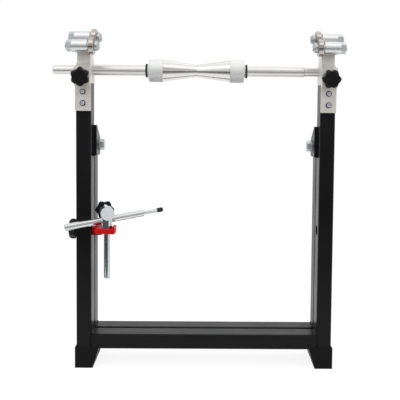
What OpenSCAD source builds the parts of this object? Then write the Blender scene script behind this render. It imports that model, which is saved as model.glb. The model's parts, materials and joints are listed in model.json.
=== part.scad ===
// Folding wheel balancing stand: two hinged tube frames, a roller head on each
// front upright, a shaft with centring cones, and a swivelling pointer probe.
// Millimetres. X right, Y back, Z up, drawn with the two frames folded together.

/* [Frames] */
// Width over the front uprights
frame_width = 340; // [320:1:380]
// Width of the tube seen from the front
tube_width = 20; // [19:0.5:22]
// Depth of the tube from front to back
tube_depth = 30; // [28:0.5:32]
// Tube wall thickness
tube_wall = 1.5; // [1.2:0.1:2]
// Outer corner radius of the tube
tube_corner = 2; // [1.6:0.1:3]
// Height of the top of the front uprights
upright_top = 378; // [365:1:400]
// Height of the feet under the tubes
foot_height = 25; // [20:1:30]
// Gap between the two folded frames
fold_gap = 3; // [2.5:0.1:4]
// Thickness of the foot wall that laps the tube
foot_lip = 1.5; // [1.2:0.1:2]

/* [Fold hinge] */
// Height of the hinge pivot
pivot_height = 296; // [270:1:305]
// Pivot distance behind the front face of the rear legs
pivot_inset = 7; // [6.5:0.1:7.5]
// Height of the rear legs above the pivot
leg_over_pivot = 6; // [5:0.1:6.2]
// Hinge ear thickness
ear_thickness = 5; // [4:0.5:6]

/* [Roller heads] */
// Roller bearing diameter
roller_d = 22; // [20:0.1:22.4]
// Roller bearing width
roller_w = 7; // [6:0.1:8]
// Spacer between a roller and its head
roller_spacer = 1.8; // [1:0.1:2.4]
// Distance between the two rollers of a head
roller_pitch = 25; // [24:0.1:27]
// Forward lean of the roller pair
roller_lean = 30; // [26:0.5:34]
// Height of the roller pair above the shaft bore
roller_rise = 34.75; // [33:0.25:38]
// Radius of the bosses that carry the roller bolts
boss_r = 8; // [7:0.1:9]
// Height of the shaft axis above the tube top
shaft_rise = 17.3; // [16.5:0.1:18]
// Downward tilt of the clamp knobs
knob_tilt = 15; // [12:0.5:18]
// Diameter of the star knobs
star_d = 25; // [22:0.5:26]
// Diameter of the larger knob outside the left upright
outer_star_d = 27; // [24:0.5:29]

/* [Shaft and cones] */
// Main shaft diameter
shaft_d = 14; // [13:0.1:14.5]
// Diameter of the turned-down shaft ends
shaft_end_d = 12; // [10:0.1:12.5]
// Largest diameter of a centring cone
cone_d = 30; // [26:0.5:36]
// Diameter of the small end of a cone
cone_nose_d = 16.4; // [16.2:0.1:18]
// Length of a cone with its cylindrical band
cone_length = 62.4; // [56:0.2:66]
// Length of the cylindrical band
cone_band = 18; // [14:0.5:22]

/* [Probe] */
// Height of the probe bore above the floor
probe_height = 184; // [170:1:195]
// Diameter of the probe bore in the uprights
probe_bore_d = 14; // [13:0.1:15]
// Diameter of the hanging post
post_d = 8; // [7:0.1:8.4]
// Length of the post below the bracket plate
post_drop = 59.5; // [40:0.5:70]
// Turn of the swivel head seen from above
swivel_turn = 14; // [10:0.5:16]
// Tilt of the probe rod
rod_tilt = 9.1; // [6:0.1:10]
// Diameter of the probe rod
rod_d = 9; // [8:0.1:9.2]
// Length of the probe rod
rod_length = 104.2; // [90:0.2:110]
// How far the pointer stands out of the rod
pointer_out = 19; // [17:0.5:24]

/* [Hidden] */
$fn = 64;
eps = 1;
fit = 0.05;
gap = 0.3;
black = [0.06, 0.06, 0.065];
dark = [0.03, 0.03, 0.03];
alloy = [0.78, 0.79, 0.8];
steel = [0.66, 0.67, 0.69];
red = [0.72, 0.03, 0.05];

// frames
half_w = frame_width / 2;
inner_x = half_w - tube_width;
mid_x = half_w - tube_width / 2;
mid_y = tube_depth / 2;
rail_top = foot_height + tube_width;
leg_x = inner_x + gap;
leg_y = tube_depth + fold_gap;
leg_top = pivot_height + leg_over_pivot;
pivot_y = leg_y + pivot_inset;
ear_x = inner_x - ear_thickness;
m8 = 4;
m6 = 3;
m4 = 2;

// roller heads
shaft_z = upright_top + shaft_rise;
shaft_y = mid_y;
pair_y = -13.65;
pair_z = shaft_z + roller_rise;
step_y = roller_pitch / 2 * cos(roller_lean);
step_z = roller_pitch / 2 * sin(roller_lean);
front_roller = [pair_y - step_y, pair_z - step_z];
rear_roller = [pair_y + step_y, pair_z + step_z];
head_front = -12;
tongue_t = 4;
tongue_low = upright_top - 36.4;
screw_high = upright_top - 11.5;
screw_low = upright_top - 26.4;
core_r = 6;
nut_h = 6.5;
bolt_tip = half_w + nut_h + 1.5;
hub_at = (shaft_y - head_front) / cos(knob_tilt) + 2.7;
star_at = hub_at + 5.4;
star_t = 8;

// shaft
shaft_left = -half_w - 31.8;
left_step = -half_w - 1;
right_step = inner_x - 21;
shaft_right = half_w - 2;
cones_meet = -12.8;
spigot = 4.5;
ring_w = 2.5;

// probe
wall_in = -inner_x + gap;
plate_z = probe_height + 1;
plate_top = plate_z + 6;
post_x = -inner_x + 24;
post_y = -22;
post_low = plate_z - post_drop;
stem_low = plate_top + gap;
eye_z = stem_low + 19.7;
eye_r = 8.8;
stem_r = 7;
eye_half = 6;
stem_bore = 10.5;
holder_front = eye_half + gap;
holder_t = 12;
rod_drop = 11;
rod_y = holder_front + holder_t / 2;
probe_hub = holder_front + holder_t + gap;
rod_left = -rod_length * 0.532;
rod_right = rod_left + rod_length;
pointer_r = 2.5;
tip_r = 3;

// the origin is the middle of the bottom of the whole stand
centre_x = (shaft_left + bolt_tip) / 2;
centre_y = (front_roller[0] - roller_d / 2 + leg_y + tube_depth + foot_lip) / 2;

module placed() { translate([-centre_x, -centre_y, 0]) children(); }

module sided(left) {
  if (left) mirror([1, 0, 0]) children();
  else children();
}

// rounded rectangle from the origin, made of squares and circles
module round_rect(w, d, r) {
  translate([r, 0]) square([w - 2 * r, d]);
  translate([0, r]) square([w, d - 2 * r]);
  for (x = [r, w - r], y = [r, d - r]) translate([x, y]) circle(r);
}

module tube_section(w, d) {
  difference() {
    round_rect(w, d, tube_corner);
    translate([tube_wall, tube_wall])
      round_rect(w - 2 * tube_wall, d - 2 * tube_wall, max(tube_corner - tube_wall, 0.4));
  }
}

// a profile drawn in Y and Z, drawn out from x0 to x1
module along_x(x0, x1) {
  translate([x0, 0, 0]) rotate([90, 0, 90]) linear_extrude(x1 - x0) children();
}

// a profile drawn in X and Z, drawn out from y0 to y1
module along_y(y0, y1) {
  translate([0, y1, 0]) rotate([90, 0, 0]) linear_extrude(y1 - y0) children();
}

module rod_x(x0, x1, r, y, z) {
  translate([x0, y, z]) rotate([0, 90, 0]) cylinder(h = x1 - x0, r = r);
}

module cone_x(x0, x1, r0, r1, y, z) {
  translate([x0, y, z]) rotate([0, 90, 0]) cylinder(h = x1 - x0, r1 = r0, r2 = r1);
}

module rod_y_axis(y0, y1, r, x, z) {
  translate([x, y0, z]) rotate([-90, 0, 0]) cylinder(h = y1 - y0, r = r);
}

module hex_x(x0, x1, across, y, z) {
  translate([x0, y, z]) rotate([0, 90, 0])
    cylinder(h = x1 - x0, r = across / 2 / cos(30), $fn = 6);
}

// six-lobed knob on +Z: hub from 0, star from hub_h, blind bore from below
module star_knob(d, hub_h, hub_r, bore_r, bore_deep) {
  r = d / 2;
  difference() {
    union() {
      cylinder(h = hub_h + eps, r = hub_r);
      difference() {
        translate([0, 0, hub_h]) rotate_extrude()
          polygon([[0, 0], [r - 1, 0], [r, 1], [r, star_t - 2.2], [r - 2.2, star_t], [0, star_t]]);
        for (a = [0:60:300]) rotate([0, 0, a + 30])
          translate([r + 1.3, 0, hub_h - eps]) cylinder(h = star_t + 2 * eps, r = 4.4);
        translate([0, 0, hub_h + star_t - 0.8]) cylinder(h = 0.8 + eps, r = r / 2.4);
      }
    }
    translate([0, 0, -eps]) cylinder(h = bore_deep + eps, r = bore_r);
  }
}

// local frame of a clamp knob: +Z runs from the shaft axis out to the front
module at_clamp() { translate([mid_x, shaft_y, shaft_z]) rotate([90 + knob_tilt, 0, 0]) children(); }

// local frame of the swivel head: origin on the eye axis, Y along the clamp bolt
module at_eye() { translate([post_x, post_y, eye_z]) rotate([0, 0, swivel_turn]) children(); }

// local frame of the rod: origin in the holder, +X along the rod to the right
module at_rod() { at_eye() rotate([0, -rod_tilt, 0]) translate([0, rod_y, -rod_drop]) children(); }

// front frame, drawn for the right side
module upright() {
  difference() {
    translate([inner_x, 0, foot_height]) linear_extrude(upright_top - foot_height)
      tube_section(tube_width, tube_depth);
    rod_x(inner_x - eps, inner_x + tube_wall + eps, probe_bore_d / 2, mid_y, probe_height);
    rod_x(half_w - tube_wall - eps, half_w + eps, m8 + 0.1, mid_y, probe_height);
    for (z = [screw_low, screw_high]) rod_y_axis(-eps, tube_wall + eps, m4 + fit, mid_x, z);
  }
}

module ear() {
  difference() {
    along_x(ear_x, inner_x) polygon([[16, pivot_height - 14], [pivot_y + 5, pivot_height - 14],
      [pivot_y + 8, pivot_height - 11], [pivot_y + 8, pivot_height + 7],
      [pivot_y + 6, pivot_height + 10], [19, pivot_height + 27], [16, pivot_height + 27]]);
    rod_x(ear_x - eps, inner_x + eps, m8 + fit, pivot_y, pivot_height);
  }
}

// foot under a tube that starts at x0, y0; the lip laps the outside and the open face
module foot(x0, y0, back) {
  x1 = x0 + tube_width;
  y1 = y0 + tube_depth;
  lip = 4;
  in = tube_wall + 0.2;
  lo = back ? y0 : y0 - foot_lip;
  hi = back ? y1 + foot_lip : y1;
  along_y(lo, hi) polygon([[x0 - 2, 0], [x1 + foot_lip, 0], [x1 + foot_lip, foot_height + lip - 1],
    [x1 + foot_lip - 1, foot_height + lip], [x1, foot_height + lip], [x1, foot_height],
    [x0 - 9.5, foot_height]]);
  along_x(x0 - 9.5, x1 + foot_lip / 2) polygon(back
    ? [[y1, foot_height - 2], [hi, foot_height - 2], [hi, foot_height + lip - 1],
       [hi - 1, foot_height + lip], [y1, foot_height + lip]]
    : [[y0, foot_height - 2], [y0, foot_height + lip], [lo + 1, foot_height + lip],
       [lo, foot_height + lip - 1], [lo, foot_height - 2]]);
  translate([x0 + in, y0 + in, foot_height - eps])
    cube([tube_width - 2 * in, tube_depth - 2 * in, 14 + eps]);
}

module rail(x, y) {
  along_x(-x, x) translate([y, foot_height]) tube_section(tube_depth, tube_width);
}

module leg() {
  difference() {
    translate([leg_x, leg_y, foot_height]) linear_extrude(leg_top - foot_height)
      tube_section(tube_width, tube_depth);
    rod_x(leg_x - eps, leg_x + tube_width + eps, m8 + fit, pivot_y, pivot_height);
  }
}

// plug in the open top of a leg, relieved around the hinge bolt
module leg_plug() {
  in = tube_wall + 0.2;
  difference() {
    translate([leg_x + in, leg_y + in, leg_top - 12])
      cube([tube_width - 2 * in, tube_depth - 2 * in, 12]);
    rod_x(leg_x, leg_x + tube_width, m8 + 0.6, pivot_y, pivot_height);
  }
}

module hinge_bolt() {
  nut_end = leg_x + tube_width + gap + 4;
  rod_x(ear_x - 1.6, nut_end, m8, pivot_y, pivot_height);
  hex_x(ear_x - 6.9, ear_x - 1.6, 13, pivot_y, pivot_height);
}

module ring_x(x0, x1, r_out, r_in, y, z) {
  difference() {
    rod_x(x0, x1, r_out, y, z);
    rod_x(x0 - eps, x1 + eps, r_in, y, z);
  }
}

module nut_x(x0, x1, y, z) {
  difference() {
    hex_x(x0, x1, 13, y, z);
    rod_x(x0 - eps, x1 + eps, m8 + fit, y, z);
  }
}

// roller head, drawn for the right side
module roller_head(bore_r) {
  f = front_roller;
  r = rear_roller;
  back = [boss_r * cos(roller_lean), boss_r * sin(roller_lean)];
  t = upright_top;
  difference() {
    union() {
      along_x(inner_x, half_w) polygon([[0, t], [tube_depth, t], [tube_depth, t + 23],
        [tube_depth - 4, t + 27], [6, t + 27], [0, t + 22], [-9.5, t + 22], [head_front, t + 19],
        [head_front, t - 1], [-tongue_t, t - 5], [-tongue_t, tongue_low], [0, tongue_low]]);
      along_x(inner_x, half_w - 3) polygon([[-tongue_t, t + 20], [-tongue_t, f[1] - boss_r + 0.5],
        [f[0], f[1] - boss_r], f, r, r + back, [tube_depth - 4, t + 27], [tube_depth - 4, t + 20]]);
      along_x(inner_x, half_w - 3) difference() {
        translate([-tongue_t - 6, t + 21]) square([6.5, 7]);
        translate([-tongue_t - 6, t + 28]) circle(6);
      }
      for (p = [f, r]) rod_x(inner_x, half_w, boss_r, p[0], p[1]);
    }
    rod_x(inner_x - eps, half_w + eps, bore_r, shaft_y, shaft_z);
    for (p = [f, r]) rod_x(inner_x - eps, half_w + eps, m8 + fit, p[0], p[1]);
    for (z = [screw_low, screw_high]) rod_y_axis(-tongue_t - eps, eps, m4 + 0.1, mid_x, z);
    at_clamp() cylinder(h = 45, r = m6 + fit);
  }
}

// small domed screw over a black washer that stands on the tongue
module cap_screw(z) {
  seat = -tongue_t - 1.2;
  difference() {
    union() {
      rod_y_axis(seat - 1.6, seat, 2.7, mid_x, z);
      translate([mid_x, seat - 1.6, z]) rotate([90, 0, 0]) cylinder(h = 0.9, r1 = 2.7, r2 = 1.8);
      rod_y_axis(seat - 1, tube_wall + 4, m4, mid_x, z);
    }
    translate([mid_x, seat - 2.5 - eps, z]) rotate([-90, 0, 0])
      cylinder(h = 1.4 + eps, r = 1.15, $fn = 6);
  }
}

module screw_washer(z) {
  difference() {
    rod_y_axis(-tongue_t - 1.2, -tongue_t, 3.7, mid_x, z);
    rod_y_axis(-tongue_t - 1.2 - eps, -tongue_t + eps, m4 + 0.1, mid_x, z);
  }
}

module roller_bolt(p) {
  x = inner_x - roller_spacer - roller_w;
  rod_x(x - 1.5, bolt_tip, m8, p[0], p[1]);
  rod_x(x - 1.5, x, 5.6, p[0], p[1]);
  rod_x(x - 3.5, x - 1.4, 6.5, p[0], p[1]);
  cone_x(x - 6.2, x - 3.5, 4, 6.5, p[0], p[1]);
}

module roller_race(p) {
  x0 = inner_x - roller_spacer - roller_w + gap;
  x1 = inner_x - roller_spacer - gap;
  r = roller_d / 2;
  difference() {
    translate([x0, p[0], p[1]]) rotate([0, 90, 0]) rotate_extrude() polygon([[core_r + fit, 0],
      [r - 0.5, 0], [r, 0.5], [r, x1 - x0 - 0.5], [r - 0.5, x1 - x0], [core_r + fit, x1 - x0]]);
    ring_x(x0 - eps, x0 + 0.4, r - 1.8, core_r + 0.9, p[0], p[1]);
  }
}

module shaft() {
  y = shaft_y;
  z = shaft_z;
  r = shaft_d / 2;
  e = shaft_end_d / 2;
  cone_x(shaft_left, shaft_left + 1, e - 1, e, y, z);
  rod_x(shaft_left + 1, left_step, e, y, z);
  cone_x(left_step - 1, left_step, e, r, y, z);
  rod_x(left_step, right_step, r, y, z);
  cone_x(right_step, right_step + 1, r, e, y, z);
  rod_x(right_step, shaft_right - 1, e, y, z);
  cone_x(shaft_right - 1, shaft_right, e, e - 1, y, z);
}

// centring cone on +Z from its small end, with a spigot behind for the rubber ring
module cone() {
  r = cone_d / 2;
  back = cone_length;
  difference() {
    rotate_extrude() polygon([[0, 0], [cone_nose_d / 2, 0], [r - 0.5, back - cone_band - 0.5],
      [r, back - cone_band], [r, back - 1], [r - 1, back], [shaft_d / 2 + 0.9, back],
      [shaft_d / 2 + 0.9, back + spigot], [0, back + spigot]]);
    translate([0, 0, -eps]) cylinder(h = back + spigot + 2 * eps, r = shaft_d / 2 + fit);
  }
}

module cone_ring() {
  r = shaft_d / 2 + 0.9;
  translate([0, 0, cone_length + spigot - ring_w]) rotate_extrude()
    polygon([[r, 0], [r + 0.6, 0], [r + 1.1, 0.6], [r + 1.1, ring_w - 0.6],
      [r + 0.6, ring_w], [r, ring_w]]);
}

// +Z runs outwards along the shaft from the meeting point of the cones
module at_cone(left) {
  translate([cones_meet + (left ? -0.15 : 0.15), shaft_y, shaft_z])
    rotate([0, left ? -90 : 90, 0]) children();
}

module bracket() {
  difference() {
    union() {
      translate([0, 0, plate_z]) linear_extrude(6) polygon([[post_x - 15, mid_y + 8],
        [post_x - 15, post_y - 4], [post_x - 11, post_y - 8], [post_x + 8, post_y - 12],
        [post_x + 11, post_y - 10], [post_x + 11, post_y + 9], [post_x - 7, post_y + 9],
        [post_x - 7, mid_y + 8]]);
      translate([post_x + 7.8, post_y - 10, plate_z + 2]) cube([3.2, 19, 7]);
      rod_x(wall_in, -inner_x + 12, 8.5, mid_y, probe_height);
      rod_x(-inner_x - tube_wall - 1, wall_in + eps, probe_bore_d / 2 - fit, mid_y, probe_height);
    }
    translate([post_x, post_y, plate_z - eps]) cylinder(h = 6 + 2 * eps, r = post_d / 2 + fit);
    rod_x(-half_w, -inner_x + 9, m8 + fit, mid_y, probe_height);
  }
}

module stem() {
  difference() {
    union() {
      translate([post_x, post_y, stem_low]) cylinder(h = eye_z - stem_low, r = stem_r);
      at_eye() rod_y_axis(-stem_r - 1.2, eye_half, eye_r, 0, 0);
    }
    at_eye() translate([-20, eye_half, -30]) cube([40, 20, 60]);
    translate([post_x, post_y, stem_low - eps]) cylinder(h = stem_bore + eps, r = post_d / 2 + fit);
    at_eye() rod_y_axis(-4, eye_half + eps, m6 + fit, 0, 0);
  }
}

module holder() {
  lobe = rod_d / 2 + 2;
  y1 = holder_front + holder_t;
  at_eye() rotate([0, -rod_tilt, 0]) difference() {
    union() {
      rod_y_axis(holder_front, y1, eye_r, 0, 0);
      rod_y_axis(holder_front, y1, lobe, 0, -rod_drop);
      along_y(holder_front, y1) polygon([[-eye_r, 0], [-lobe, -rod_drop], [lobe, -rod_drop], [eye_r, 0]]);
    }
    rod_y_axis(holder_front - eps, y1 + eps, m6 + fit, 0, 0);
    rod_x(-20, 20, rod_d / 2 + fit, rod_y, -rod_drop);
  }
}

module rod() {
  difference() {
    union() {
      cone_x(rod_left, rod_left + 0.8, rod_d / 2 - 0.8, rod_d / 2, 0, 0);
      rod_x(rod_left + 0.8, rod_right - 0.8, rod_d / 2, 0, 0);
      cone_x(rod_right - 0.8, rod_right, rod_d / 2, rod_d / 2 - 0.8, 0, 0);
    }
    rod_x(rod_right - 70, rod_right + eps, pointer_r + fit, 0, 0);
  }
}

module tip() {
  x = rod_right + pointer_out;
  difference() {
    union() {
      rod_x(x - 1.5, x + 5, tip_r, 0, 0);
      cone_x(x + 5, x + 6.5, tip_r, 2, 0, 0);
    }
    rod_x(x - 1.5 - eps, x + 2, pointer_r + fit, 0, 0);
  }
}

// one module for each piece
module front_upright_left() { color(black) placed() sided(true) upright(); }
module front_upright_right() { color(black) placed() sided(false) upright(); }
module front_rail() { color(black) placed() rail(inner_x, 0); }
module hinge_ear_left() { color(black) placed() sided(true) ear(); }
module hinge_ear_right() { color(black) placed() sided(false) ear(); }
module foot_front_left() { color(dark) placed() sided(true) foot(inner_x, 0, false); }
module foot_front_right() { color(dark) placed() sided(false) foot(inner_x, 0, false); }
module rear_leg_left() { color(black) placed() sided(true) leg(); }
module rear_leg_right() { color(black) placed() sided(false) leg(); }
module rear_rail() { color(black) placed() rail(leg_x, leg_y); }
module foot_rear_left() { color(dark) placed() sided(true) foot(leg_x, leg_y, true); }
module foot_rear_right() { color(dark) placed() sided(false) foot(leg_x, leg_y, true); }
module leg_plug_left() { color(dark) placed() sided(true) leg_plug(); }
module leg_plug_right() { color(dark) placed() sided(false) leg_plug(); }
module hinge_bolts() { color(steel) placed() for (left = [true, false]) sided(left) hinge_bolt(); }
module hinge_washers() {
  color(steel) placed() for (left = [true, false]) sided(left)
    ring_x(ear_x - 1.6, ear_x, 8, m8 + fit, pivot_y, pivot_height);
}
module hinge_nuts() {
  x = leg_x + tube_width + gap;
  color(steel) placed() for (left = [true, false]) sided(left) nut_x(x, x + 4, pivot_y, pivot_height);
}
module roller_head_left() { color(alloy) placed() sided(true) roller_head(shaft_d / 2 + fit); }
module roller_head_right() { color(alloy) placed() sided(false) roller_head(shaft_end_d / 2 + fit); }
module head_screws() {
  color(steel) placed() for (left = [true, false], z = [screw_low, screw_high]) sided(left) cap_screw(z);
}
module screw_washers() {
  color(dark) placed() for (left = [true, false], z = [screw_low, screw_high]) sided(left) screw_washer(z);
}
module roller_bolts() {
  color(steel) placed() for (left = [true, false], p = [front_roller, rear_roller]) sided(left)
    roller_bolt(p);
}
module roller_nuts() {
  color(steel) placed() for (left = [true, false], p = [front_roller, rear_roller]) sided(left)
    nut_x(half_w, half_w + nut_h, p[0], p[1]);
}
module bearing_cores() {
  color(steel) placed() for (left = [true, false], p = [front_roller, rear_roller]) sided(left)
    ring_x(inner_x - roller_spacer - roller_w, inner_x, core_r, m8 + fit, p[0], p[1]);
}
module roller_left_front() { color(alloy) placed() sided(true) roller_race(front_roller); }
module roller_left_rear() { color(alloy) placed() sided(true) roller_race(rear_roller); }
module roller_right_front() { color(alloy) placed() sided(false) roller_race(front_roller); }
module roller_right_rear() { color(alloy) placed() sided(false) roller_race(rear_roller); }
module balancing_shaft() { color(alloy) placed() shaft(); }
module cone_left() { color(alloy) placed() at_cone(true) cone(); }
module cone_right() { color(alloy) placed() at_cone(false) cone(); }
module cone_ring_left() { color(dark) placed() at_cone(true) cone_ring(); }
module cone_ring_right() { color(dark) placed() at_cone(false) cone_ring(); }
module clamp_knob_left() { color(dark) placed() sided(true) at_clamp() rotate([0, 0, 30]) clamp_knob(); }
module clamp_knob_right() { color(dark) placed() sided(false) at_clamp() clamp_knob(); }
module clamp_screw_left() { color(steel) placed() sided(true) at_clamp() clamp_screw(shaft_d / 2); }
module clamp_screw_right() { color(steel) placed() sided(false) at_clamp() clamp_screw(shaft_end_d / 2); }
module clamp_knob() { translate([0, 0, hub_at]) star_knob(star_d, star_at - hub_at, 8.2, m6 + fit, 9); }
module clamp_screw(r) { translate([0, 0, r + gap]) cylinder(h = hub_at + 9 - r - gap, r = m6); }
module probe_bracket() { color(red) placed() bracket(); }
module bracket_stud() { color(steel) placed() rod_x(-half_w - 8, -inner_x + 9, m8, mid_y, probe_height); }
module bracket_knob() {
  color(dark) placed() translate([-half_w - gap, mid_y, probe_height]) rotate([0, -90, 0])
    star_knob(outer_star_d, 2.2, 7, m8 + fit, 8);
}
module probe_post() {
  h = stem_low + stem_bore - 0.4 - post_low;
  color(alloy) placed() translate([post_x, post_y, post_low]) rotate_extrude()
    polygon([[0, 0], [post_d / 2 - 1.6, 0], [post_d / 2 - 0.5, 0.6], [post_d / 2, 2],
      [post_d / 2, h], [0, h]]);
}
module swivel_stem() { color(alloy) placed() stem(); }
module clamp_bolt() { color(steel) placed() at_eye() rod_y_axis(-4, probe_hub + 10, m6, 0, 0); }
module rod_holder() { color(alloy) placed() holder(); }
module probe_knob() {
  color(dark) placed() at_eye() translate([0, probe_hub, 0]) rotate([-90, 0, 0])
    star_knob(star_d, 5.4, 6.5, m6 + fit, 10);
}
module probe_rod() { color(alloy) placed() at_rod() rod(); }
module pointer() {
  color(steel) placed() at_rod()
    rod_x(rod_right - 50, rod_right + pointer_out + 2, pointer_r, 0, 0);
}
module pointer_tip() { color(dark) placed() at_rod() tip(); }

front_upright_left();
front_upright_right();
front_rail();
hinge_ear_left();
hinge_ear_right();
foot_front_left();
foot_front_right();
rear_leg_left();
rear_leg_right();
rear_rail();
foot_rear_left();
foot_rear_right();
leg_plug_left();
leg_plug_right();
hinge_bolts();
hinge_washers();
hinge_nuts();
roller_head_left();
roller_head_right();
head_screws();
screw_washers();
roller_bolts();
roller_nuts();
bearing_cores();
roller_left_front();
roller_left_rear();
roller_right_front();
roller_right_rear();
balancing_shaft();
cone_left();
cone_right();
cone_ring_left();
cone_ring_right();
clamp_knob_left();
clamp_knob_right();
clamp_screw_left();
clamp_screw_right();
probe_bracket();
bracket_stud();
bracket_knob();
probe_post();
swivel_stem();
clamp_bolt();
rod_holder();
probe_knob();
probe_rod();
pointer();
pointer_tip();
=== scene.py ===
import json
import math

import bpy
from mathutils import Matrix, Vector


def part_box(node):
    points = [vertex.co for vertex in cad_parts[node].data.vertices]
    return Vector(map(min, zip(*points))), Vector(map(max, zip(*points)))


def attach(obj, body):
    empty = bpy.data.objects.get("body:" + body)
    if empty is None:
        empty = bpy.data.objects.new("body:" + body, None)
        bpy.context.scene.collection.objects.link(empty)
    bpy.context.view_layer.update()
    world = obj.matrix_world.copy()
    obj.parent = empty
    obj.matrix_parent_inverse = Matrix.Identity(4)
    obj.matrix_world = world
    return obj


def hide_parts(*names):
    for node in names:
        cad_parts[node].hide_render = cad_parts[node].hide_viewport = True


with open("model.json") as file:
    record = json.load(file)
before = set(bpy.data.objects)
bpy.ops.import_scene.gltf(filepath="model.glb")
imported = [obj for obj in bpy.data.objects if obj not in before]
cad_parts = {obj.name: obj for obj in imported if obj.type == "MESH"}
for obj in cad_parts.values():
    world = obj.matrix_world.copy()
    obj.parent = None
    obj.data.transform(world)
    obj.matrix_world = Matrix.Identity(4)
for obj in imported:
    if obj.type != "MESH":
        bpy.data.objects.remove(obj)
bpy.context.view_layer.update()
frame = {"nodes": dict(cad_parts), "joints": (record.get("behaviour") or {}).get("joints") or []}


# The camera stands just under a metre in front of the folded stand, a little below the
# shaft, and looks slightly down. The lens is shifted to keep the uprights nearly parallel,
# and the picture leans a little, as the photograph does.
camera_place = (0.01461, -0.94306, 0.345)
camera_turn = (86.638, -0.516, -0.651)
camera_lens = 63.815
camera_sensor = 36
camera_shift = (-0.04003, -0.1225)
nearest_seen = 0.01
bpy.ops.object.select_all(action="DESELECT")
bpy.ops.object.camera_add(location=camera_place)
camera = bpy.context.object
camera.name = "front_camera"
camera.rotation_euler = [math.radians(angle) for angle in camera_turn]
camera.data.lens = camera_lens
camera.data.sensor_width = camera_sensor
camera.data.shift_x, camera.data.shift_y = camera_shift
camera.data.clip_start = nearest_seen
bpy.context.scene.camera = camera


# The studio: a pale floor in a light room, with soft boxes above and on both sides.
# The sky is white to the lens and, towards the backdrop, in polished metal. Behind the
# camera the room has a dark band, so turned metal shows dark bands and black stays black.
bpy.context.scene.view_settings.view_transform = "Standard"
white = (1, 1, 1, 1)
sky_strength = 0.9
sky_by_height = ((0.0, 1.0), (0.14, 1.0), (0.24, 0.7), (0.5, 0.5), (0.72, 0.6), (1.0, 0.6))
room_by_height = ((0.3, 0.5), (0.335, 0.05), (0.43, 0.05), (0.46, 0.6), (0.57, 0.7), (0.68, 0.8))
room_aim = (-0.5, -0.87, 0)
room_fade = (0.0, 0.5)
backdrop_fade = (0.2, 0.6)


def grey_ramp(tree, source, stops):
    ramp = tree.nodes.new("ShaderNodeValToRGB")
    marks = ramp.color_ramp.elements
    for mark, (place, grey) in zip(marks, (stops[0], stops[-1])):
        mark.position = place
        mark.color = (grey, grey, grey, 1)
    for place, grey in stops[1:-1]:
        marks.new(place).color = (grey, grey, grey, 1)
    tree.links.new(source, ramp.inputs["Fac"])
    return ramp.outputs["Color"]


def map_range(tree, source, low, high, curve):
    ramp = tree.nodes.new("ShaderNodeMapRange")
    ramp.interpolation_type = curve
    ramp.inputs["From Min"].default_value = low
    ramp.inputs["From Max"].default_value = high
    tree.links.new(source, ramp.inputs["Value"])
    return ramp.outputs["Result"]


def combine(tree, operation, first, second):
    both = tree.nodes.new("ShaderNodeMath")
    both.operation = operation
    tree.links.new(first, both.inputs[0])
    tree.links.new(second, both.inputs[1])
    return both.outputs[0]


def straight_view(tree, path):
    return combine(tree, "MAXIMUM", path.outputs["Is Camera Ray"], path.outputs["Is Transmission Ray"])


studio = bpy.data.worlds.new("studio")
bpy.context.scene.world = studio
studio.use_nodes = True
sky = studio.node_tree
sky.nodes.clear()
sky_way = sky.nodes.new("ShaderNodeTexCoord")
sky_split = sky.nodes.new("ShaderNodeSeparateXYZ")
sky.links.new(sky_way.outputs["Generated"], sky_split.inputs["Vector"])
sky_aim = sky.nodes.new("ShaderNodeVectorMath")
sky_aim.operation = "DOT_PRODUCT"
sky_aim.inputs[1].default_value = room_aim
sky.links.new(sky_way.outputs["Generated"], sky_aim.inputs[0])
in_room = map_range(sky, sky_aim.outputs["Value"], *room_fade, "SMOOTHSTEP")
room_height = map_range(sky, sky_split.outputs["Z"], -1, 1, "LINEAR")
sky_level = sky.nodes.new("ShaderNodeMix")
sky_level.inputs["A"].default_value = sky_strength
sky.links.new(in_room, sky_level.inputs["Factor"])
sky.links.new(grey_ramp(sky, room_height, room_by_height), sky_level.inputs["B"])
sky_light = sky.nodes.new("ShaderNodeBackground")
sky.links.new(grey_ramp(sky, sky_split.outputs["Z"], sky_by_height), sky_light.inputs["Color"])
sky.links.new(sky_level.outputs["Result"], sky_light.inputs["Strength"])
sky_seen = sky.nodes.new("ShaderNodeBackground")
sky_seen.inputs["Color"].default_value = white
sky_seen.inputs["Strength"].default_value = 1.0
sky_path = sky.nodes.new("ShaderNodeLightPath")
sky_clear = straight_view(sky, sky_path)
sky_behind = map_range(sky, sky_split.outputs["Y"], *backdrop_fade, "SMOOTHSTEP")
sky_backdrop = combine(sky, "MULTIPLY", sky_path.outputs["Is Glossy Ray"], sky_behind)
sky_mix = sky.nodes.new("ShaderNodeMixShader")
sky.links.new(combine(sky, "MAXIMUM", sky_clear, sky_backdrop), sky_mix.inputs["Fac"])
sky.links.new(sky_light.outputs["Background"], sky_mix.inputs[1])
sky.links.new(sky_seen.outputs["Background"], sky_mix.inputs[2])
sky_out = sky.nodes.new("ShaderNodeOutputWorld")
sky.links.new(sky_mix.outputs["Shader"], sky_out.inputs["Surface"])

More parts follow.
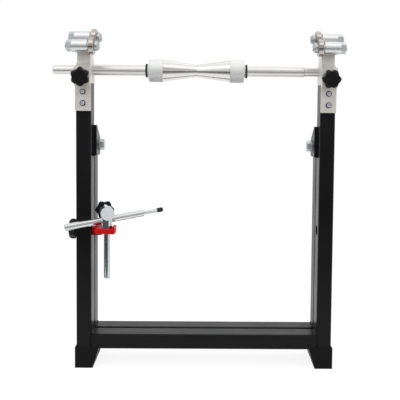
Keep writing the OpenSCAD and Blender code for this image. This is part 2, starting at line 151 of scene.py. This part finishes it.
floor_width = 4
floor_place = (1.4, 1.5, 0)
floor_grey = 0.24
floor_glow = 0.88
bpy.ops.mesh.primitive_plane_add(size=floor_width, location=floor_place)
floor = bpy.context.object
floor.name = "studio_floor"
bpy.ops.object.transform_apply(location=True, rotation=False, scale=True)
floor_paint = bpy.data.materials.new("floor_white")
floor_paint.use_nodes = True
paint = floor_paint.node_tree
paint.nodes.clear()
paint_matt = paint.nodes.new("ShaderNodeBsdfDiffuse")
paint_matt.inputs["Color"].default_value = (floor_grey, floor_grey, floor_grey, 1)
paint_path = paint.nodes.new("ShaderNodeLightPath")
paint_clear = straight_view(paint, paint_path)
paint_white = combine(paint, "MAXIMUM", paint_clear, paint_path.outputs["Is Glossy Ray"])
paint_share = paint.nodes.new("ShaderNodeMath")
paint_share.operation = "MULTIPLY"
paint_share.inputs[1].default_value = floor_glow
paint.links.new(paint_white, paint_share.inputs[0])
paint_glow = paint.nodes.new("ShaderNodeEmission")
paint.links.new(paint_share.outputs[0], paint_glow.inputs["Strength"])
paint_sum = paint.nodes.new("ShaderNodeAddShader")
paint.links.new(paint_matt.outputs[0], paint_sum.inputs[0])
paint.links.new(paint_glow.outputs[0], paint_sum.inputs[1])
paint_out = paint.nodes.new("ShaderNodeOutputMaterial")
paint.links.new(paint_sum.outputs[0], paint_out.inputs["Surface"])
floor.data.materials.append(floor_paint)


def soft_box(name, place, aim, width, height, watts):
    bpy.ops.object.light_add(type="AREA", location=place)
    lamp = bpy.context.object
    lamp.name = name
    lamp.data.shape = "RECTANGLE"
    lamp.data.size = width
    lamp.data.size_y = height
    lamp.data.energy = watts
    way = [a - p for a, p in zip(aim, place)]
    flat = math.hypot(way[0], way[1])
    lamp.rotation_euler = (math.atan2(flat, -way[2]), 0, math.atan2(way[1], way[0]) - math.pi / 2)


soft_box("top_box", place=(0.1, -0.1, 1.8), aim=(0, 0.02, 0.2), width=2.4, height=1.8, watts=8)
soft_box("left_box", place=(-1.1, -1.1, 1.4), aim=(0, 0, 0.25), width=2.0, height=2.0, watts=12)
soft_box("right_box", place=(1.1, -1.0, 1.4), aim=(0, 0, 0.25), width=1.9, height=1.9, watts=10)


# Front frame: two uprights and a cross rail of 20 x 30 steel tube, welded together,
# with a flat hinge ear on each upright, all in satin black powder coat.
# The tube corners are rolled rounder here than in the solids, and the cut edges are broken.
noise_low = 0.3
noise_high = 0.7


# The colour and roughness given here are the plain ones, for a piece shown without its noise.
def surface(name, colour, metallic, roughness, specular=0.5):
    made = bpy.data.materials.new(name)
    made.use_nodes = True
    shader = made.node_tree.nodes["Principled BSDF"]
    shader.inputs["Base Color"].default_value = (*colour, 1)
    shader.inputs["Metallic"].default_value = metallic
    shader.inputs["Roughness"].default_value = roughness
    shader.inputs["Specular IOR Level"].default_value = specular
    return made, made.node_tree, shader


def object_noise(tree, scale, detail, stretch=(1, 1, 1)):
    where = tree.nodes.new("ShaderNodeTexCoord")
    stretched = tree.nodes.new("ShaderNodeMapping")
    stretched.inputs["Scale"].default_value = stretch
    noise = tree.nodes.new("ShaderNodeTexNoise")
    noise.inputs["Scale"].default_value = scale
    noise.inputs["Detail"].default_value = detail
    tree.links.new(where.outputs["Object"], stretched.inputs["Vector"])
    tree.links.new(stretched.outputs["Vector"], noise.inputs["Vector"])
    return noise.outputs["Fac"]


def spread(tree, source, socket, low, high):
    ramp = tree.nodes.new("ShaderNodeMapRange")
    ramp.inputs["From Min"].default_value = noise_low
    ramp.inputs["From Max"].default_value = noise_high
    ramp.inputs["To Min"].default_value = low
    ramp.inputs["To Max"].default_value = high
    tree.links.new(source, ramp.inputs["Value"])
    tree.links.new(ramp.outputs["Result"], socket)


def tint(tree, source, shader, dark, light):
    mix = tree.nodes.new("ShaderNodeValToRGB")
    mix.color_ramp.elements[0].position = noise_low
    mix.color_ramp.elements[0].color = (*dark, 1)
    mix.color_ramp.elements[1].position = noise_high
    mix.color_ramp.elements[1].color = (*light, 1)
    tree.links.new(source, mix.inputs["Fac"])
    tree.links.new(mix.outputs["Color"], shader.inputs["Base Color"])


def raise_grain(tree, source, shader, strength, depth):
    bump = tree.nodes.new("ShaderNodeBump")
    bump.inputs["Strength"].default_value = strength
    bump.inputs["Distance"].default_value = depth
    tree.links.new(source, bump.inputs["Height"])
    tree.links.new(bump.outputs["Normal"], shader.inputs["Normal"])


def coat(nodes, made):
    for name in nodes:
        for place in frame["nodes"][name].material_slots:
            place.material = made


same_point = 0.000005
flat_angle = math.radians(0.6)
sharp_angle = math.radians(28)
smooth_angle = math.radians(35)
edge_steps = 3


# A softened piece is a merged copy of a CAD solid with broken edges, shown in its place.
def softened(node, name, body, made, edge_width, reshape=None):
    source = frame["nodes"][node]
    bpy.ops.object.select_all(action="DESELECT")
    source.select_set(True)
    bpy.context.view_layer.objects.active = source
    bpy.ops.object.duplicate()
    piece = bpy.context.object
    piece.name = name
    bpy.ops.object.mode_set(mode="EDIT")
    bpy.ops.mesh.select_all(action="SELECT")
    bpy.ops.mesh.remove_doubles(threshold=same_point)
    bpy.ops.object.mode_set(mode="OBJECT")
    if reshape:
        reshape(piece)
    bpy.ops.object.mode_set(mode="EDIT")
    bpy.ops.mesh.select_all(action="SELECT")
    bpy.ops.mesh.dissolve_limited(angle_limit=flat_angle)
    bpy.ops.object.mode_set(mode="OBJECT")
    edge = piece.modifiers.new("edge", "BEVEL")
    edge.width = edge_width
    edge.segments = edge_steps
    edge.limit_method = "ANGLE"
    edge.angle_limit = sharp_angle
    edge.use_clamp_overlap = True
    bpy.ops.object.modifier_apply(modifier="edge")
    bpy.ops.object.shade_smooth_by_angle(angle=smooth_angle)
    even = piece.modifiers.new("even", "WEIGHTED_NORMAL")
    even.keep_sharp = True
    bpy.ops.object.modifier_apply(modifier="even")
    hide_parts(node)
    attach(piece, body)
    piece.data.materials.clear()
    piece.data.materials.append(made)
    return piece


cad_corner = 0.002
rolled_corner = 0.0032
flat_slack = 0.01
arc_slack = 0.02


# Moves the points on the outer corner arcs of a tube from the solid's radius to the rolled one.
def roll_corners(tube, across):
    points = [v.co for v in tube.data.vertices]
    low = [min(p[axis] for p in points) for axis in range(3)]
    high = [max(p[axis] for p in points) for axis in range(3)]
    for p in points:
        walls = []
        for axis in across:
            inward = 1 if p[axis] - low[axis] < high[axis] - p[axis] else -1
            wall = low[axis] if inward > 0 else high[axis]
            walls.append((axis, wall, inward, (p[axis] - wall) * inward / cad_corner - 1))
        first, second = walls[0][3], walls[1][3]
        if max(first, second) < flat_slack and abs(math.hypot(first, second) - 1) < arc_slack:
            for axis, wall, inward, reach in walls:
                p[axis] = wall + inward * rolled_corner * (1 + reach)


powder_coat, tree, shader = surface(
    "satin_black_powder_coat", colour=(0.0072, 0.0073, 0.0084), metallic=0.0, roughness=0.32, specular=0.13
)
peel = object_noise(tree, scale=900, detail=3)
cloud = object_noise(tree, scale=22, detail=4)
tint(tree, cloud, shader, dark=(0.0061, 0.0062, 0.0071), light=(0.0083, 0.0084, 0.0097))
spread(tree, cloud, shader.inputs["Roughness"], low=0.28, high=0.36)
raise_grain(tree, peel, shader, strength=0.16, depth=0.0004)
coat(["hinge_ear_left", "hinge_ear_right"], powder_coat)
tube_edge = 0.0003
upright_across = (0, 1)
rail_across = (1, 2)


def rolled_tube(node, body, across):
    softened(
        node, f"{node}_tube", body, powder_coat, tube_edge,
        reshape=lambda tube: roll_corners(tube, across),
    )


rolled_tube("front_upright_left", "front_frame", upright_across)
rolled_tube("front_upright_right", "front_frame", upright_across)
rolled_tube("front_rail", "front_frame", rail_across)


# Weld beads, where each rail meets its uprights or legs and each hinge ear its upright.
# A bead is a thin run of overlapping ripples of weld steel, thinner at its two ends,
# laid along the seam and powder coated with the tube.
bead_sides = 10
fewest_cuts = 6
cut_step = 0.0007
ripple_height = 0.16
ripple_length = 0.0022
ripple_slant = 0.8
blunt_end = 0.35


def weld_bead(name, start, end, radius, body):
    run = [e - s for s, e in zip(start, end)]
    length = math.sqrt(sum(r * r for r in run))
    bpy.ops.object.select_all(action="DESELECT")
    bpy.ops.mesh.primitive_cylinder_add(vertices=bead_sides, radius=radius, depth=length)
    bead = bpy.context.object
    bead.name = name
    bpy.ops.object.mode_set(mode="EDIT")
    bpy.ops.mesh.select_all(action="DESELECT")
    bpy.ops.object.mode_set(mode="OBJECT")
    for edge in bead.data.edges:
        a, b = (bead.data.vertices[v].co for v in edge.vertices)
        edge.select = abs(a.z - b.z) > length / 2
    bpy.ops.object.mode_set(mode="EDIT")
    bpy.ops.mesh.select_mode(type="EDGE")
    bpy.ops.mesh.subdivide(number_cuts=max(fewest_cuts, int(length / cut_step)))
    bpy.ops.object.mode_set(mode="OBJECT")
    for v in bead.data.vertices:
        phase = v.co.z / ripple_length * 2 * math.pi + ripple_slant * v.co.x / radius
        ripple = 1 + ripple_height * math.sin(phase)
        taper = min(1.0, (length / 2 - abs(v.co.z)) / radius + blunt_end)
        v.co.x *= ripple * taper
        v.co.y *= ripple * taper
    flat = math.hypot(run[0], run[1])
    bead.rotation_euler = (0, math.atan2(flat, run[2]), math.atan2(run[1], run[0]))
    bead.location = [(s + e) / 2 for s, e in zip(start, end)]
    bpy.ops.object.transform_apply(location=True, rotation=True, scale=True)
    bpy.ops.object.shade_smooth()
    bead.data.materials.append(powder_coat)
    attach(bead, body)


seam_bead = 0.0012
face_bead = 0.0009
top_margin = 0.003
face_sunk = 0.0004
face_low_margin = 0.005
face_high_margin = 0.002


def rail_welds(rail, body, label):
    low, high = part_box(rail)
    front, back = low[1] + top_margin, high[1] - top_margin
    foot, head = low[2] + face_low_margin, high[2] - face_high_margin
    for side, x in (("left", low[0]), ("right", high[0])):
        seam = f"weld_{label}_{side}"
        weld_bead(f"{seam}_top", (x, front, high[2]), (x, back, high[2]), seam_bead, body)
        for face, y in (("front", low[1] + face_sunk), ("back", high[1] - face_sunk)):
            weld_bead(f"{seam}_{face}", (x, y, foot), (x, y, head), face_bead, body)


rail_welds("front_rail", "front_frame", "front")
ear_margin = 0.002
ear_low_start = 0.001
ear_low_end = 0.0135
for side in ("left", "right"):
    low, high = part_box(f"hinge_ear_{side}")
    x = low[0] if side == "left" else high[0]
    front, foot = low[1], low[2]
    seam_foot, seam_head = (x, front, foot + ear_margin), (x, front, high[2] - ear_margin)
    weld_bead(f"weld_ear_{side}_front", seam_foot, seam_head, seam_bead, "front_frame")
    low_start, low_end = (x, front + ear_low_start, foot), (x, front + ear_low_end, foot)
    weld_bead(f"weld_ear_{side}_low", low_start, low_end, seam_bead, "front_frame")


# Rear frame: two shorter legs and a cross rail of the same tube, welded and coated
# in the same way. It stands behind the front frame and swings on the fold hinge.
rolled_tube("rear_leg_left", "rear_frame", upright_across)
rolled_tube("rear_leg_right", "rear_frame", upright_across)
rolled_tube("rear_rail", "rear_frame", rail_across)
rail_welds("rear_rail", "rear_frame", "rear")


# Feet and leg plugs: moulded black plastic with rounded edges and a fine spark grain.
# Each foot is pushed into the end of its tube and laps the outside of it,
# and a plug closes the open top of each rear leg.
foot_edge = 0.0009
plug_edge = 0.0006
foot_plastic, tree, shader = surface(
    "foot_plastic", colour=(0.005, 0.005, 0.005), metallic=0.0, roughness=0.52, specular=0.12
)
spark = object_noise(tree, scale=1500, detail=2)
haze = object_noise(tree, scale=40, detail=4)
tint(tree, haze, shader, dark=(0.004, 0.004, 0.004), light=(0.006, 0.006, 0.006))
spread(tree, haze, shader.inputs["Roughness"], low=0.46, high=0.58)
raise_grain(tree, spark, shader, strength=0.25, depth=0.0003)
for place in ("front", "rear"):
    for side in ("left", "right"):
        foot = f"foot_{place}_{side}"
        softened(foot, f"{foot}_moulding", f"{place}_frame", foot_plastic, foot_edge)
for side in ("left", "right"):
    plug = f"leg_plug_{side}"
    softened(plug, f"{plug}_moulding", "rear_frame", foot_plastic, plug_edge)


# Fold hinge: an M8 steel bolt through each ear and leg, with a washer under its head
# on the inside and a thin nut on the outside, all in bright zinc plate.
zinc_plate, tree, shader = surface("zinc_plate", colour=(0.54, 0.57, 0.58), metallic=0.8, roughness=0.3)
stain = object_noise(tree, scale=60, detail=3)
tint(tree, stain, shader, dark=(0.5, 0.53, 0.54), light=(0.58, 0.605, 0.615))
spread(tree, stain, shader.inputs["Roughness"], low=0.24, high=0.38)
coat(["hinge_bolts", "hinge_washers", "hinge_nuts"], zinc_plate)


# Roller heads: machined alloy blocks with broken edges and a fine brushed grain running
# up the faces. Each is fixed by two screws through a tongue in front of its upright,
# and has a turned boss around each roller bolt.
head_edge = 0.0007
boss_reach = 0.0083
head_alloy, tree, shader = surface("brushed_alloy", colour=(0.8, 0.775, 0.735), metallic=0.5, roughness=0.42)
brush = object_noise(tree, scale=6, detail=5, stretch=(260, 260, 14))
cast = object_noise(tree, scale=70, detail=3)
tint(tree, cast, shader, dark=(0.76, 0.735, 0.695), light=(0.84, 0.815, 0.775))
spread(tree, brush, shader.inputs["Roughness"], low=0.36, high=0.5)
raise_grain(tree, brush, shader, strength=0.12, depth=0.0002)
turned_boss, tree, shader = surface("turned_boss", colour=(0.69, 0.705, 0.7), metallic=1.0, roughness=0.36)
swirl = object_noise(tree, scale=2, detail=3, stretch=(900, 30, 30))
tint(tree, swirl, shader, dark=(0.66, 0.675, 0.67), light=(0.72, 0.735, 0.73))
spread(tree, swirl, shader.inputs["Roughness"], low=0.32, high=0.4)
for side in ("left", "right"):
    node = f"roller_head_{side}"
    head = softened(node, f"{node}_block", "front_frame", head_alloy, head_edge)
    head.data.materials.append(turned_boss)
    for roller in (f"roller_{side}_front", f"roller_{side}_rear"):
        low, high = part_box(roller)
        axis_y, axis_z = (low[1] + high[1]) / 2, (low[2] + high[2]) / 2
        for face in head.data.polygons:
            if math.hypot(face.center.y - axis_y, face.center.z - axis_z) < boss_reach:
                face.material_index = 1
coat(["head_screws", "roller_bolts", "roller_nuts", "bearing_cores"], zinc_plate)


# Rollers: the outer rings of four ball bearings, of hardened steel, ground and polished.
# They spin on cores that the roller bolts hold to the inner faces of the heads.
ground_steel, tree, shader = surface(
    "ground_steel", colour=(0.47, 0.435, 0.405), metallic=1.0, roughness=0.12
)
lap = object_noise(tree, scale=3, detail=4, stretch=(900, 60, 60))
tint(tree, lap, shader, dark=(0.42, 0.385, 0.355), light=(0.52, 0.485, 0.455))
spread(tree, lap, shader.inputs["Roughness"], low=0.08, high=0.16)
coat(["roller_left_front", "roller_left_rear", "roller_right_front", "roller_right_rear"], ground_steel)


# Balancing shaft and cones: turned steel bar, polished, with faint lathe rings.
# The shaft lies in the bores of the heads, and the cones slide on it to centre a wheel.
# The cylindrical band of each cone is left satin.
turned_bar, tree, shader = surface("turned_bar", colour=(0.72, 0.71, 0.69), metallic=1.0, roughness=0.36)
lathe = object_noise(tree, scale=1, detail=3, stretch=(1800, 8, 8))
tint(tree, lathe, shader, dark=(0.69, 0.68, 0.66), light=(0.75, 0.74, 0.72))
spread(tree, lathe, shader.inputs["Roughness"], low=0.32, high=0.4)
raise_grain(tree, lathe, shader, strength=0.05, depth=0.0001)
coat(["balancing_shaft"], turned_bar)
cones_meet = (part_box("cone_left")[1][0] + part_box("cone_right")[0][0]) / 2
taper_end = 0.0438
band_start = 0.0444
cone_steel, tree, shader = surface("turned_cone", colour=(0.74, 0.74, 0.745), metallic=1.0, roughness=0.2)
cone_place = tree.nodes.new("ShaderNodeTexCoord")
cone_split = tree.nodes.new("ShaderNodeSeparateXYZ")
tree.links.new(cone_place.outputs["Object"], cone_split.inputs["Vector"])
offset = tree.nodes.new("ShaderNodeMath")
offset.operation = "SUBTRACT"
offset.inputs[1].default_value = cones_meet
tree.links.new(cone_split.outputs["X"], offset.inputs[0])
distance = tree.nodes.new("ShaderNodeMath")
distance.operation = "ABSOLUTE"
tree.links.new(offset.outputs[0], distance.inputs[0])
band = tree.nodes.new("ShaderNodeMapRange")
band.inputs["From Min"].default_value = taper_end
band.inputs["From Max"].default_value = band_start
band.inputs["To Min"].default_value = noise_low
band.inputs["To Max"].default_value = noise_high
tree.links.new(distance.outputs[0], band.inputs["Value"])
tint(tree, band.outputs["Result"], shader, dark=(0.72, 0.71, 0.69), light=(0.8, 0.81, 0.8))
spread(tree, band.outputs["Result"], shader.inputs["Roughness"], low=0.2, high=0.5)
spread(tree, band.outputs["Result"], shader.inputs["Metallic"], low=1.0, high=0.3)
lathe = object_noise(tree, scale=1, detail=3, stretch=(1800, 8, 8))
raise_grain(tree, lathe, shader, strength=0.02, depth=0.0001)
coat(["cone_left", "cone_right"], cone_steel)


# Rubber rings and pointer tip: soft black rubber with a dusty bloom.
# A ring is stretched over the spigot behind each cone, and the tip is pushed on the pointer.
soft_rubber, tree, shader = surface("soft_rubber", colour=(0.012, 0.012, 0.012), metallic=0.0, roughness=0.7)
dust = object_noise(tree, scale=300, detail=4)
tint(tree, dust, shader, dark=(0.009, 0.009, 0.009), light=(0.018, 0.018, 0.018))
spread(tree, dust, shader.inputs["Roughness"], low=0.62, high=0.8)
coat(["cone_ring_left", "cone_ring_right", "pointer_tip"], soft_rubber)


# Star knobs: moulded black plastic with six lobes, two on the clamp screws of the heads,
# one on the bracket stud and one on the clamp bolt of the probe. The lobes are rounder
# than in the solids. The black washers under the head screws have the same finish.
knob_edge = 0.0008
lobes = 6
lobe_angle = 360 / lobes
cut_radius = 0.0044
cut_beyond = 0.0013
lobe_depth = 0.0024
rim_slack = 0.0002
knob_plastic, tree, shader = surface(
    "knob_plastic", colour=(0.004, 0.004, 0.004), metallic=0.0, roughness=0.42, specular=0.22
)
grit = object_noise(tree, scale=1200, detail=2)
tint(tree, grit, shader, dark=(0.0035, 0.0035, 0.0035), light=(0.005, 0.005, 0.005))
spread(tree, grit, shader.inputs["Roughness"], low=0.36, high=0.48)
raise_grain(tree, grit, shader, strength=0.2, depth=0.0003)


# Moves the rim from the round cuts of the solid to a wave inside the same outer circle.
def round_lobes(knob, body):
    turn = next(joint for joint in frame["joints"] if joint["child"] == body)
    axis, centre = Vector(turn["axis"]).normalized(), Vector(turn["pos_m"])
    spokes = []
    for v in knob.data.vertices:
        out = v.co - centre
        spokes.append((v, out - out.dot(axis) * axis))
    reach = max(out.length for v, out in spokes)
    rim_start = reach + cut_beyond - cut_radius - rim_slack
    rim = [(v, out) for v, out in spokes if out.length > rim_start]
    valley = min((out for v, out in rim), key=lambda out: out.length)
    for v, out in rim:
        turned = math.degrees(out.angle(valley)) % lobe_angle
        off = math.radians(min(turned, lobe_angle - turned))
        half_chord = cut_radius ** 2 - ((reach + cut_beyond) * math.sin(off)) ** 2
        edge = (reach + cut_beyond) * math.cos(off) - math.sqrt(half_chord) if half_chord > 0 else reach
        wave = reach - lobe_depth * (1 + math.cos(lobes * off)) / 2
        v.co += out * (wave / min(edge, reach) - 1)


def star_knob(node, body):
    softened(
        node, f"{node}_star", body, knob_plastic, knob_edge,
        reshape=lambda knob: round_lobes(knob, body),
    )


star_knob("clamp_knob_left", "left_clamp")
star_knob("clamp_knob_right", "right_clamp")
star_knob("bracket_knob", "bracket_lock")
star_knob("probe_knob", "holder_lock")
coat(["screw_washers"], knob_plastic)
coat(["clamp_screw_left", "clamp_screw_right"], zinc_plate)


# Probe bracket: a red plate with an upturned lip and a round boss that turns in the bore
# of the left upright. The zinc plated stud and the outer star knob hold it there.
plate_edge = 0.0007
red_finish, tree, shader = surface(
    "red_finish", colour=(0.72, 0.006, 0.011), metallic=0.0, roughness=0.42, specular=0.1
)
flow = object_noise(tree, scale=120, detail=4)
tint(tree, flow, shader, dark=(0.68, 0.005, 0.009), light=(0.76, 0.008, 0.013))
spread(tree, flow, shader.inputs["Roughness"], low=0.36, high=0.48)
softened("probe_bracket", "probe_bracket_plate", "bracket", red_finish, plate_edge)
coat(["bracket_stud", "clamp_bolt"], zinc_plate)


# Probe: a polished post in the bracket, a swivel stem on it and a holder clamped to the
# eye of the stem, all of turned alloy, with the front of the eye left matt. The rod in the
# holder and the pointer in the rod are drawn steel.
stem_edge = 0.0005
holder_edge = 0.0005
disc_drop = 0.0086
faces_front = -0.9
probe_alloy, tree, shader = surface("satin_alloy", colour=(0.58, 0.65, 0.69), metallic=1.0, roughness=0.14)
sheen = object_noise(tree, scale=2, detail=3, stretch=(40, 40, 900))
tint(tree, sheen, shader, dark=(0.55, 0.62, 0.66), light=(0.61, 0.68, 0.72))
spread(tree, sheen, shader.inputs["Roughness"], low=0.11, high=0.17)
coat(["probe_post"], probe_alloy)
rod_steel, tree, shader = surface("drawn_rod", colour=(0.66, 0.68, 0.675), metallic=1.0, roughness=0.22)
drawn = object_noise(tree, scale=2, detail=3, stretch=(30, 600, 600))
tint(tree, drawn, shader, dark=(0.63, 0.65, 0.645), light=(0.69, 0.71, 0.705))
spread(tree, drawn, shader.inputs["Roughness"], low=0.18, high=0.26)
coat(["probe_rod", "pointer"], rod_steel)
faced_alloy, tree, shader = surface("faced_alloy", colour=(0.86, 0.925, 0.94), metallic=0.1, roughness=0.5)
pits = object_noise(tree, scale=700, detail=3)
tint(tree, pits, shader, dark=(0.8, 0.865, 0.885), light=(0.92, 0.975, 0.985))
spread(tree, pits, shader.inputs["Roughness"], low=0.44, high=0.58)
raise_grain(tree, pits, shader, strength=0.25, depth=0.0003)
stem = softened("swivel_stem", "swivel_stem_turned", "swivel", probe_alloy, stem_edge)
stem.data.materials.append(faced_alloy)
low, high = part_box("probe_knob")
disc_low = (low[2] + high[2]) / 2 - disc_drop
for face in stem.data.polygons:
    if face.normal.y < faces_front and face.center.z > disc_low:
        face.material_index = 1
softened("rod_holder", "rod_holder_block", "holder", probe_alloy, holder_edge)
